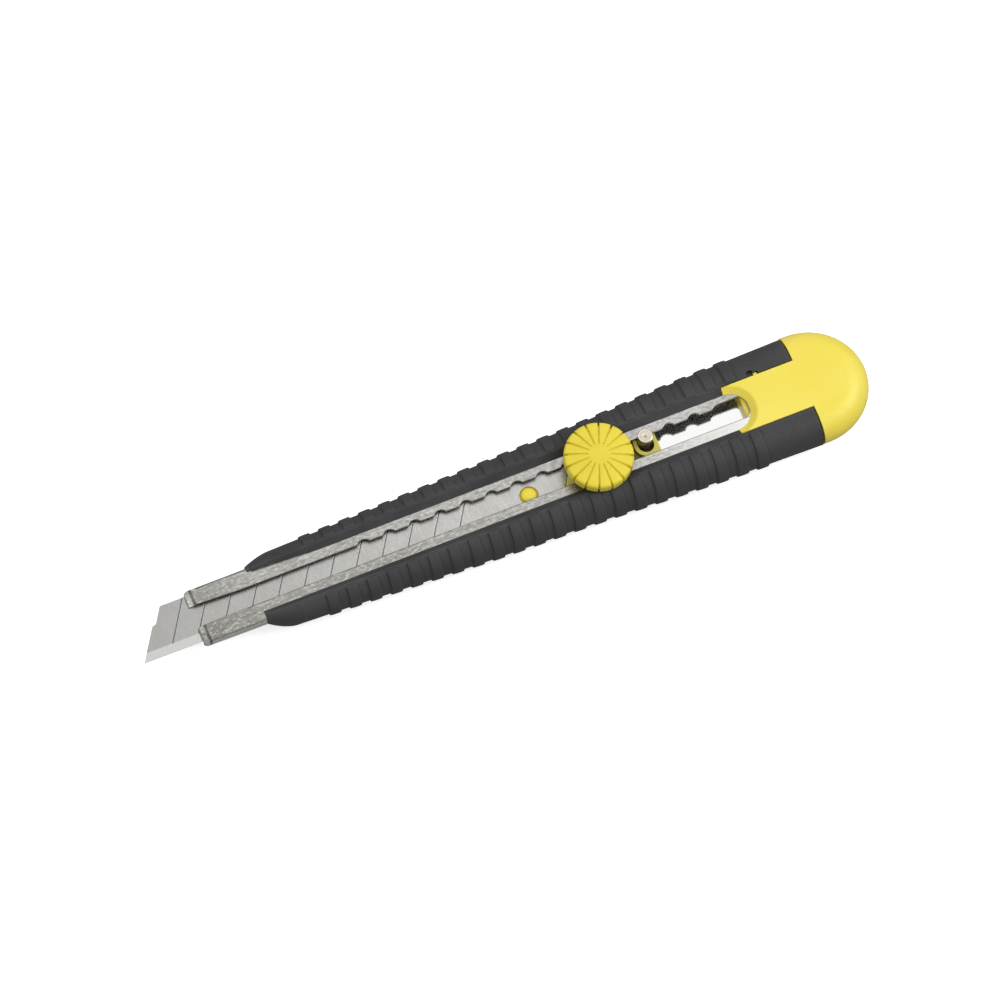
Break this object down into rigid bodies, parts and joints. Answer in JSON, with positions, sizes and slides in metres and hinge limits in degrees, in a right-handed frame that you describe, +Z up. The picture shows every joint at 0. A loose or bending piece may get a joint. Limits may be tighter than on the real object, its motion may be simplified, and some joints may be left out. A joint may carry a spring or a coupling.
{
  "type": "snap-off knife",
  "caption": "Slim snap-off knife: scored blade in a slotted steel channel, ribbed black handle, thumbwheel lock, sprung index pin and pull-off end cap.",
  "frame": {"origin": "on the flat back that the knife rests on, on the centre line, about midway between the channel's tips and the end cap", "axes": "+X from the blade's tip to the end cap, +Y towards the scalloped rail, +Z up out of the slotted face"},
  "size_m": [0.1407, 0.0212, 0.0121],
  "materials": {
    "black_moulding": "hard moulded plastic, satin",
    "soft_grip": "soft matte elastomer with a fine grain",
    "stainless_channel": "rolled stainless sheet, lightly scratched along its length",
    "blade_steel": "ground carbon steel",
    "yellow_cap": "moulded, semi-gloss",
    "yellow_wheel": "moulded, semi-gloss",
    "yellow_slider": "moulded, satin",
    "turned_steel": "turned and polished",
    "spring_steel": "blued strip",
    "brass": "turned",
    "plated_steel": "zinc plated"
  },
  "bodies": {
    "handle": {"handle_core": "black_moulding", "grip_left": "soft_grip", "grip_right": "soft_grip", "blade_channel": "stainless_channel"},
    "end_cap": {"end_cap": "yellow_cap"},
    "slider": {"slider_carriage": "yellow_slider", "snap_blade": "blade_steel", "index_spring": "spring_steel"},
    "index_pin": {"index_pin": "turned_steel"},
    "lock_wheel": {"lock_wheel": "yellow_wheel", "wheel_nut": "brass"},
    "clamp_bolt": {"clamp_bolt": "plated_steel"}
  },
  "joints": [
    {"name": "slider_slide", "type": "slide", "parent": "handle", "child": "slider", "axis": [1, 0, 0], "range_m": [-0.0441, 0.0147]},
    {"name": "wheel_turn", "type": "hinge", "parent": "slider", "child": "lock_wheel", "pos_m": [0.01332, 0, 0.0113], "axis": [0, 0, 1], "range_deg": [0, 360]},
    {"name": "bolt_drop", "type": "slide", "parent": "slider", "child": "clamp_bolt", "axis": [0, 0, -1], "range_m": [0, 0.0005]},
    {"name": "index_release", "type": "slide", "parent": "slider", "child": "index_pin", "axis": [0, -1, 0], "range_m": [0, 0.0007], "deforming": ["index_spring"]},
    {"name": "end_cap_pull", "type": "slide", "parent": "handle", "child": "end_cap", "axis": [1, 0, 0], "range_m": [0, 0.014]}
  ],
  "couplings": [
    {"joint": "wheel_turn", "follows": "bolt_drop", "rad_per_m": 12566}
  ]
}
